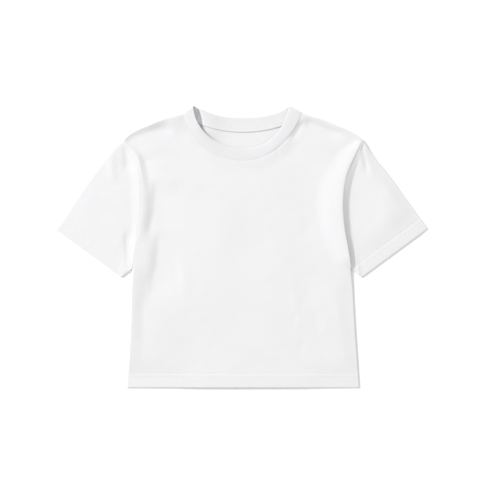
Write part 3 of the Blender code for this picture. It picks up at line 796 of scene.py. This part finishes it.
def make_sleeve(side, cloth, sewing):
    rows = sewing_rows(sewing, "cuff")
    t, plan, from_cuff, along_cuff = sleeve_plan(side, cloth.pitch / MM, rows)
    top = sleeve_surface(side, t, plan, from_cuff, along_cuff, cloth, rows)
    creases = fold_height(UNDER_SLEEVE_FOLDS[side], plan[..., 0], plan[..., 1], cloth.fold_depth)
    creases = np.clip(creases, 0, 1.2) * ease(from_cuff / 30 - 0.8)
    low = under_groove(from_cuff, rows, along_cuff) + creases
    turn = roll(np.minimum(t, 1 - t) * ARMHOLE_LENGTH)
    walls = tube_walls(plan, plan, top, low, turn, hem_ply(from_cuff, rows[1]), fold_pinch(from_cuff, CLOTH))
    cut_top = np.stack([along_cuff, from_cuff], -1)
    wide = 2 * along_cuff.max()
    cut_low = np.stack([wide - along_cuff, from_cuff], -1)
    cut = np.concatenate([cut_top, cut_low[-2::-1]])
    return shell_mesh("sleeve_cloth_left" if side > 0 else "sleeve_cloth_right", *walls, cut, wrap=True)


def make_neckband(cloth):
    places = neck_places(0.8 * cloth.pitch / MM)
    turn_end = [math.sin(turn) for turn in TURNS]
    turn = np.array(turn_end + [1.0] * (len(places) - 2 * len(turn_end)) + turn_end[::-1])
    nose = [step / BAND_WIDTH for step in nose_steps(RIB / 2)]
    w = np.array([0, 0.03, 0.07] + spaced(0.07, 0.86, 0.1) + [1 - step for step in nose[::-1]])
    plans = []
    for seam, free in ((front_seam, front_free), (back_seam, back_free)):
        seam_edge, free_edge = seam(places)[:, None], free(places)[:, None]
        plans.append(seam_edge + w[None, :, None] * (free_edge - seam_edge))
    seam_z, free_z = (read_table(BAND_LIFT, column, places)[:, None] for column in ("seam", "free"))
    depth = read_table(NECK_DITCH, "depth", places)[:, None]
    swell = 0.3 * np.sin(math.pi * np.clip(w, 0, 1)) - depth * ditch(w * BAND_WIDTH)
    x, y = plans[0][..., 0], plans[0][..., 1]
    top = seam_z + (free_z - seam_z) * w + swell + 0.12 * ripple(x, y, 30, 21)
    pinch = 0 * top + fold_pinch((1 - w) * BAND_WIDTH, RIB / 2)
    low = back_rise(plans[1][..., 0], plans[1][..., 1])
    walls = tube_walls(*plans, top, low, turn, 0 * top + RIB, pinch)
    on_front, on_back = (lengths_along(plan[:, len(w) // 2]) for plan in plans)
    around = np.concatenate([on_front, (on_front[-1] + on_back[-1] - on_back)[-2::-1]])
    cut = np.stack(np.broadcast_arrays(around[:, None], w[None, :] * BAND_WIDTH), -1)
    return shell_mesh("neckband_rib", *walls, cut, wrap=True)


def make_neck_tape(cloth):
    places = neck_places(cloth.pitch / MM)
    places = places[np.abs(places) < 0.955]
    w = np.array([0, 0.04, 0.12, 0.25, 0.4, 0.5, 0.6, 0.75, 0.88, 0.96, 1])
    offsets = TAPE_PAST_SEAM - w * TAPE_WIDTH
    plan = np.stack([moved_off(back_seam, places, offset) for offset in offsets])
    under = RIB + SEAM - 0.6 * (1 - w)[:, None] + back_rise(plan[..., 0], plan[..., 1])
    lower = np.concatenate([plan, under[..., None]], axis=-1)
    rounding = 1.1 * TAPE - 0.5 * TAPE * w - 0.25 * np.exp(-w * TAPE_WIDTH / 0.4)
    upper = lower + np.array([0, 0, 1]) * rounding[:, None, None]
    around = lengths_along(plan[5])
    cut = np.stack(np.broadcast_arrays(around[None, :], (w * TAPE_WIDTH)[:, None]), -1)
    return shell_mesh("neck_tape_cloth", upper, lower, cut)


# ---------------------------------------------------------------------------------------------------------
# Sewing


def deselect_all():
    if bpy.context.mode != "OBJECT":
        bpy.ops.object.mode_set(mode="OBJECT")
    bpy.ops.object.select_all(action="DESELECT")


def one_stitch(sewing):
    """Points and faces of one stitch of thread: a stretched bead that dips into the cloth at its ends."""
    deselect_all()
    bpy.ops.mesh.primitive_uv_sphere_add(segments=6, ring_count=5, radius=1.0, rotation=(0, math.pi / 2, 0))
    bead = bpy.context.object
    bpy.ops.object.transform_apply(location=True, rotation=True, scale=True)
    half_length = 0.46 * sewing.stitch_length / MM
    half_width = sewing.thread_width / MM / 2
    bpy.ops.object.mode_set(mode="EDIT")
    bpy.ops.mesh.select_all(action="SELECT")
    bpy.ops.transform.resize(value=(half_length, half_width, half_width * 0.9))
    bpy.ops.object.mode_set(mode="OBJECT")
    points = np.array([vertex.co for vertex in bead.data.vertices])
    faces = [tuple(face.vertices) for face in bead.data.polygons]
    mesh = bead.data
    bpy.data.objects.remove(bead)
    bpy.data.meshes.remove(mesh)
    return points, faces


def along_line(line, step):
    """Places every step along a line of plan points, and the direction there."""
    gone = lengths_along(line)
    at = np.arange(step / 2, gone[-1] - step / 3, step)
    places, ahead, behind = (
        np.stack([np.interp(at + shift, gone, line[:, n]) for n in range(2)], -1) for shift in (0, 0.5, -0.5)
    )
    return places, unit(ahead - behind)


def make_stitches(name, cloth_piece, lines, sewing, face_up=True):
    """Rows of stitches that lie on a piece of cloth, or under it, along lines in plan."""
    tree = BVHTree.FromObject(cloth_piece, bpy.context.evaluated_depsgraph_get())
    bead, bead_faces = one_stitch(sewing)
    sink = 0.12 * sewing.thread_width / MM
    look = Vector((0, 0, -1 if face_up else 1))
    points, faces = [], []
    for line in lines:
        for (x, y), way in zip(*along_line(line, sewing.stitch_length / MM)):
            start = Vector((*(np.array([x, y]) * MM + LAYOUT[:2]), 0.05 if face_up else -0.05))
            hit, normal, _, _ = tree.ray_cast(start, look)
            if hit is None:
                continue
            normal = np.array(normal) if normal.dot(look) < 0 else -np.array(normal)
            along = unit(np.array([*way, 0.0]) - normal * (np.array([*way, 0.0]) @ normal))
            basis = np.stack([along, np.cross(normal, along), normal])
            seat = (np.array(hit) - LAYOUT) / MM + normal * sink
            faces += [tuple(n + len(points) * len(bead) for n in face) for face in bead_faces]
            points.append(seat + bead @ basis)
    points = np.concatenate(points)
    if not face_up:
        points[:, 2] = np.maximum(points[:, 2], 0.02)
    mesh = bpy.data.meshes.new(name)
    mesh.from_pydata((points * MM + LAYOUT).tolist(), [], faces)
    mesh.shade_smooth()
    made = bpy.data.objects.new(name, mesh)
    bpy.context.scene.collection.objects.link(made)
    return made


def hem_lines(rows):
    """The body hem's rows of stitches, from side seam to side seam."""
    x = np.linspace(-1, 1, 80)
    lines = []
    for row in rows:
        edge = read_side(SIDE_LINE, row + 0 * x, x) - 2.2
        lines.append(np.stack([x * edge, row + 0 * x], -1))
    return lines


def cuff_lines(side, rows):
    """A cuff's rows of stitches, from its folded edge to the underarm."""
    outer, inner, along, up = cuff_frame(side)
    fold_way = unit(np.array([side * SHOULDER_X, SHOULDER_Y]) - outer)
    lines = []
    for row in rows:
        start = outer + fold_way * row / (fold_way @ up) + along * 2.2
        end = inner + up * row - along * 2.4
        lines.append(np.linspace(start, end, 40))
    return lines


# ---------------------------------------------------------------------------------------------------------
# Materials


class Nodes:
    """Builds one material's node tree a node at a time."""

    def __init__(self, name):
        self.material = bpy.data.materials.new(name)
        self.material.use_nodes = True
        self.tree = self.material.node_tree
        self.shader = self.tree.nodes["Principled BSDF"]

    def fill(self, node, values):
        """Links or sets a node's sockets, each under its name or number."""
        for key, value in values.items():
            if isinstance(value, bpy.types.NodeSocket):
                self.tree.links.new(value, node.inputs[key])
            else:
                node.inputs[key].default_value = value

    def add(self, kind, values=None, **settings):
        made = self.tree.nodes.new(kind)
        for key, value in settings.items():
            setattr(made, key, value)
        self.fill(made, values or {})
        return made

    def math(self, operation, a, b=0.0, c=0.0):
        return self.add("ShaderNodeMath", {0: a, 1: b, 2: c}, operation=operation).outputs[0]

    def noise(self, vector, scale, detail=2.0, roughness=0.5):
        values = {"Vector": vector, "Scale": scale, "Detail": detail, "Roughness": roughness}
        return self.add("ShaderNodeTexNoise", values).outputs["Fac"]

    def spread(self, value, low, high):
        """The middle of a noise's range, stretched from low to high."""
        values = {"Value": value, "From Min": 0.3, "From Max": 0.7, "To Min": low, "To Max": high}
        return self.add("ShaderNodeMapRange", values).outputs["Result"]

    def tint(self, fac, colour, darker):
        """The colour, a little darker where fac is low."""
        values = {"Factor": fac, "A": (*(c * darker for c in colour), 1.0), "B": (*colour, 1.0)}
        return self.add("ShaderNodeMix", values, data_type="RGBA").outputs["Result"]

    def bump(self, height, distance, normal=None, strength=1.0):
        values = {"Height": height, "Distance": distance, "Strength": strength}
        if normal is not None:
            values["Normal"] = normal
        return self.add("ShaderNodeBump", values).outputs["Normal"]


def wave(nodes, value, pitch):
    """A value that goes 0, 1, 0 once in each pitch."""
    turned = nodes.math("FRACT", nodes.math("DIVIDE", value, pitch))
    return nodes.math("ABSOLUTE", nodes.math("MULTIPLY_ADD", turned, 2.0, -1.0))


def cloth_material(name, colour, cloth, pattern):
    """White cotton: a knit or woven surface, faint slubs and shade changes, and a soft nap."""
    nodes = Nodes(name)
    cut = nodes.add("ShaderNodeUVMap", uv_map="cut").outputs["UV"]
    place = nodes.add("ShaderNodeTexCoord").outputs["Object"]
    split = nodes.add("ShaderNodeSeparateXYZ", {0: cut})
    u, v = split.outputs["X"], split.outputs["Y"]
    if pattern == "jersey":
        wale = wave(nodes, u, cloth.wale_pitch)
        slanted = nodes.math("MULTIPLY_ADD", wale, 0.5 * cloth.course_pitch, v)
        course = wave(nodes, slanted, cloth.course_pitch)
        round_wale = nodes.math("SUBTRACT", 1.0, nodes.math("POWER", wale, 2.0))
        thread = nodes.math("MULTIPLY", round_wale, nodes.math("MULTIPLY_ADD", course, 0.5, 0.5))
        depth = 0.00012
    elif pattern == "rib":
        rib = wave(nodes, u, cloth.rib_pitch)
        raised = nodes.math("SUBTRACT", 1.0, nodes.math("POWER", rib, 2.0))
        course = wave(nodes, v, cloth.course_pitch)
        thread = nodes.math("MULTIPLY_ADD", course, 0.25, raised)
        depth = 0.00028
    else:
        warp, weft = wave(nodes, u, 0.0007), wave(nodes, v, 0.0011)
        thread = nodes.math("MAXIMUM", warp, weft)
        depth = 0.00012
    shade = nodes.spread(nodes.noise(place, 14.0, 3.0), 0.0, 1.0)
    soft = nodes.bump(nodes.noise(place, 220.0, 3.0, 0.6), 0.00022, strength=0.5)
    finish = {
        "Base Color": nodes.tint(shade, colour, 0.985),
        "Roughness": nodes.spread(nodes.noise(place, 60.0, 2.0), 0.86, 0.96),
        "Normal": nodes.bump(thread, depth, soft, 0.7),
        "Sheen Weight": cloth.nap,
        "Sheen Roughness": 0.45,
        "Specular IOR Level": 0.25,
    }
    nodes.fill(nodes.shader, finish)
    return nodes.material


def thread_material(name, colour):
    """Sewing thread: two plies twisted together, a little glossier than the cloth."""
    nodes = Nodes(name)
    place = nodes.add("ShaderNodeTexCoord").outputs["Object"]
    values = {"Vector": place, "Scale": 900.0, "Distortion": 0.6}
    wave_node = nodes.add("ShaderNodeTexWave", values, wave_type="BANDS", bands_direction="DIAGONAL")
    twist = wave_node.outputs["Fac"]
    finish = {
        "Base Color": nodes.tint(twist, colour, 0.94),
        "Roughness": nodes.spread(nodes.noise(place, 400.0), 0.55, 0.7),
        "Normal": nodes.bump(twist, 0.00006),
        "Sheen Weight": 0.1,
    }
    nodes.fill(nodes.shader, finish)
    return nodes.material


def table_material(colour):
    """Matt paper on a table."""
    nodes = Nodes("matt_paper")
    place = nodes.add("ShaderNodeTexCoord").outputs["Object"]
    shade = nodes.spread(nodes.noise(place, 3.0), 0.0, 1.0)
    finish = {
        "Base Color": nodes.tint(shade, colour, 0.995),
        "Roughness": nodes.spread(nodes.noise(place, 90.0), 0.9, 1.0),
        "Specular IOR Level": 0.1,
    }
    nodes.fill(nodes.shader, finish)
    return nodes.material


# ---------------------------------------------------------------------------------------------------------
# Settings


class CropTopCloth(bpy.types.PropertyGroup):
    """Colours, knit and drape of the cloth."""

    jersey_colour: FloatVectorProperty(
        name="Jersey",
        description="Colour of the body and sleeves",
        subtype="COLOR",
        default=(0.80, 0.80, 0.81),
    )
    rib_colour: FloatVectorProperty(
        name="Rib", description="Colour of the neckband", subtype="COLOR", default=(0.79, 0.79, 0.80)
    )
    tape_colour: FloatVectorProperty(
        name="Tape", description="Colour of the neck tape", subtype="COLOR", default=(0.80, 0.80, 0.81)
    )
    wale_pitch: FloatProperty(
        name="Wale pitch", description="Width of one column of knit stitches", unit="LENGTH", default=0.0010
    )
    course_pitch: FloatProperty(
        name="Course pitch", description="Height of one row of knit stitches", unit="LENGTH", default=0.0008
    )
    rib_pitch: FloatProperty(
        name="Rib pitch", description="Width of one rib of the neckband", unit="LENGTH", default=0.0019
    )
    nap: FloatProperty(
        name="Nap", description="Soft sheen of the cotton's surface", subtype="FACTOR", default=0.2
    )
    fold_depth: FloatProperty(
        name="Fold depth", description="Depth of the creases against their listed heights", default=1.0
    )
    swell: FloatProperty(
        name="Swell", description="Height of the broad unevenness of the cloth", unit="LENGTH", default=0.0003
    )
    pitch: FloatProperty(
        name="Mesh pitch", description="Distance between points of the cloth", unit="LENGTH", default=0.0026
    )


class CropTopSewing(bpy.types.PropertyGroup):
    """Thread and stitches."""

    thread_colour: FloatVectorProperty(
        name="Thread", description="Colour of the sewing thread", subtype="COLOR", default=(0.86, 0.86, 0.86)
    )
    hem_depth: FloatProperty(
        name="Hem depth", description="From the hem to its upper stitches", unit="LENGTH", default=0.0249
    )
    cuff_depth: FloatProperty(
        name="Cuff depth", description="From a cuff to its upper stitches", unit="LENGTH", default=0.0222
    )
    row_gap: FloatProperty(
        name="Row gap", description="Distance between the two rows of stitches", unit="LENGTH", default=0.0064
    )
    stitch_length: FloatProperty(
        name="Stitch length", description="Length of one stitch", unit="LENGTH", default=0.0030
    )
    thread_width: FloatProperty(
        name="Thread width", description="Thickness of the thread", unit="LENGTH", default=0.0004
    )


class CropTopStage(bpy.types.PropertyGroup):
    """Table, light and camera."""

    table_colour: FloatVectorProperty(
        name="Table",
        description="Colour of the paper that the garment lies on",
        subtype="COLOR",
        default=(0.95, 0.95, 0.95),
    )
    table_size: FloatProperty(
        name="Table size", description="Length of the paper's sides", unit="LENGTH", default=9.0
    )
    fill_light: FloatProperty(
        name="Fill light", description="Strength of the light from all round", default=0.74
    )
    key_light: FloatProperty(
        name="Key light", description="Power of the soft box", subtype="POWER", default=690.0
    )
    key_azimuth: FloatProperty(
        name="Key direction",
        description="Direction of the soft box, anticlockwise from the wearer's left",
        subtype="ANGLE",
        default=math.radians(145),
    )
    key_elevation: FloatProperty(
        name="Key height",
        description="Angle of the soft box above the table",
        subtype="ANGLE",
        default=math.radians(27),
    )
    key_size: FloatProperty(
        name="Key size", description="Side of the soft box, which softens shadows", unit="LENGTH", default=1.6
    )
    key_distance: FloatProperty(
        name="Key distance", description="Distance of the soft box", unit="LENGTH", default=9.0
    )
    view_width: FloatProperty(
        name="View width", description="Width of the table that the camera sees", unit="LENGTH", default=0.840
    )
    lens: FloatProperty(name="Lens", description="Focal length in millimetres", default=85.0)
    view_centre: FloatVectorProperty(
        name="View centre", description="Point of the layout under the camera", subtype="TRANSLATION", size=2,
        default=(-0.00525, 0.25780),
    )


class CropTopSettings(bpy.types.PropertyGroup):
    """All settings of the crop top."""

    cloth: PointerProperty(type=CropTopCloth)
    sewing: PointerProperty(type=CropTopSewing)
    stage: PointerProperty(type=CropTopStage)


# ---------------------------------------------------------------------------------------------------------
# Operators


def jersey(cloth):
    name = "cotton_jersey"
    return bpy.data.materials.get(name) or cloth_material(name, cloth.jersey_colour, cloth, "jersey")


def thread(sewing):
    name = "cotton_thread"
    return bpy.data.materials.get(name) or thread_material(name, sewing.thread_colour)


class CROPTOP_OT_body(bpy.types.Operator):
    """Make the back and the front"""

    bl_idname = "croptop.body"
    bl_label = "Front and back"

    def execute(self, context):
        settings = context.scene.crop_top
        back = make_back(settings.cloth, settings.sewing)
        finish_piece(back, "back_panel", jersey(settings.cloth))
        front = make_front(settings.cloth, settings.sewing)
        finish_piece(front, "front_panel", jersey(settings.cloth))
        return {"FINISHED"}


class CROPTOP_OT_sleeves(bpy.types.Operator):
    """Make both sleeves"""

    bl_idname = "croptop.sleeves"
    bl_label = "Sleeves"

    def execute(self, context):
        settings = context.scene.crop_top
        for side, node in ((-1, "sleeve_right"), (1, "sleeve_left")):
            sleeve = make_sleeve(side, settings.cloth, settings.sewing)
            finish_piece(sleeve, node, jersey(settings.cloth))
        return {"FINISHED"}


class CROPTOP_OT_neck(bpy.types.Operator):
    """Make the neckband and the neck tape"""

    bl_idname = "croptop.neck"
    bl_label = "Neckband and tape"

    def execute(self, context):
        cloth = context.scene.crop_top.cloth
        band = make_neckband(cloth)
        ribbed = cloth_material("cotton_rib", cloth.rib_colour, cloth, "rib")
        finish_piece(band, "neckband", ribbed)
        tape = make_neck_tape(cloth)
        woven = cloth_material("cotton_tape", cloth.tape_colour, cloth, "tape")
        finish_piece(tape, "neck_tape", woven)
        return {"FINISHED"}


class CROPTOP_OT_stitching(bpy.types.Operator):
    """Sew the hem, the cuffs and the neck tape"""

    bl_idname = "croptop.stitching"
    bl_label = "Stitching"

    def execute(self, context):
        settings = context.scene.crop_top
        sewing = settings.sewing
        hem, cuff = sewing_rows(sewing, "hem"), sewing_rows(sewing, "cuff")
        places = np.linspace(-0.93, 0.93, 60)
        insets = (1.2, TAPE_WIDTH - 1.2)
        tape_edges = [moved_off(back_seam, places, TAPE_PAST_SEAM - inset) for inset in insets]
        jobs = (
            ("hem_stitches_front", "front_cloth", hem_lines(hem), True),
            ("hem_stitches_back", "back_cloth", hem_lines(hem), False),
            ("cuff_stitches_left_top", "sleeve_cloth_left", cuff_lines(1, cuff), True),
            ("cuff_stitches_left_under", "sleeve_cloth_left", cuff_lines(1, cuff), False),
            ("cuff_stitches_right_top", "sleeve_cloth_right", cuff_lines(-1, cuff), True),
            ("cuff_stitches_right_under", "sleeve_cloth_right", cuff_lines(-1, cuff), False),
            ("tape_stitches", "neck_tape_cloth", tape_edges, True),
        )
        for name, cloth_name, lines, face_up in jobs:
            made = make_stitches(name, bpy.data.objects[cloth_name], lines, sewing, face_up)
            finish_piece(made, None, thread(sewing))
        return {"FINISHED"}


class CROPTOP_OT_stage(bpy.types.Operator):
    """Lay out the table, the light and the camera"""

    bl_idname = "croptop.stage"
    bl_label = "Table, light and camera"

    def execute(self, context):
        stage = context.scene.crop_top.stage
        deselect_all()
        bpy.ops.mesh.primitive_plane_add(size=stage.table_size, location=(0, 0, 0))
        table = context.object
        table.name = "table"
        bpy.ops.object.mode_set(mode="EDIT")
        bpy.ops.mesh.select_all(action="SELECT")
        bpy.ops.mesh.subdivide(number_cuts=3)
        bpy.ops.object.mode_set(mode="OBJECT")
        table.data.materials.append(table_material(stage.table_colour))

        world = bpy.data.worlds.new("studio")
        world.use_nodes = True
        world.node_tree.nodes["Background"].inputs["Color"].default_value = (1.0, 1.0, 1.0, 1.0)
        world.node_tree.nodes["Background"].inputs["Strength"].default_value = stage.fill_light
        context.scene.world = world
        context.scene.view_settings.view_transform = "Standard"

        way = Vector((math.cos(stage.key_elevation), 0, math.sin(stage.key_elevation)))
        way.rotate(Euler((0, 0, stage.key_azimuth)))
        bpy.ops.object.light_add(type="AREA", location=way * stage.key_distance)
        key = context.object
        key.name = "soft_box"
        key.data.energy = stage.key_light
        key.data.size = stage.key_size
        key.rotation_euler = (-way).to_track_quat("-Z", "Y").to_euler()

        camera_data = bpy.data.cameras.new("camera")
        camera = bpy.data.objects.new("camera", camera_data)
        context.scene.collection.objects.link(camera)
        camera_data.lens = stage.lens
        height = stage.view_width * stage.lens / camera_data.sensor_width
        camera.location = (stage.view_centre[0] + LAYOUT[0], stage.view_centre[1] + LAYOUT[1], height)
        context.scene.camera = camera
        return {"FINISHED"}


class CROPTOP_PT_panel(bpy.types.Panel):
    """Settings and steps of the crop top"""

    bl_idname = "CROPTOP_PT_panel"
    bl_label = "Crop Top"
    bl_space_type = "VIEW_3D"
    bl_region_type = "UI"
    bl_category = "Crop Top"

    def draw(self, context):
        settings = context.scene.crop_top
        for group in (settings.cloth, settings.sewing, settings.stage):
            box = self.layout.box()
            box.label(text=group.bl_rna.description)
            for name in group.__annotations__:
                box.prop(group, name)
        for step in STEPS:
            self.layout.operator(step.bl_idname)


STEPS = (CROPTOP_OT_stage, CROPTOP_OT_body, CROPTOP_OT_sleeves, CROPTOP_OT_neck, CROPTOP_OT_stitching)
CLASSES = (CropTopCloth, CropTopSewing, CropTopStage, CropTopSettings, *STEPS, CROPTOP_PT_panel)


def register():
    for made in CLASSES:
        bpy.utils.register_class(made)
    bpy.types.Scene.crop_top = PointerProperty(type=CropTopSettings)


def unregister():
    del bpy.types.Scene.crop_top
    for made in reversed(CLASSES):
        bpy.utils.unregister_class(made)


def main():
    register()
    bpy.ops.croptop.stage()
    bpy.ops.croptop.body()
    bpy.ops.croptop.sleeves()
    bpy.ops.croptop.neck()
    bpy.ops.croptop.stitching()


if __name__ == "__main__":
    main()
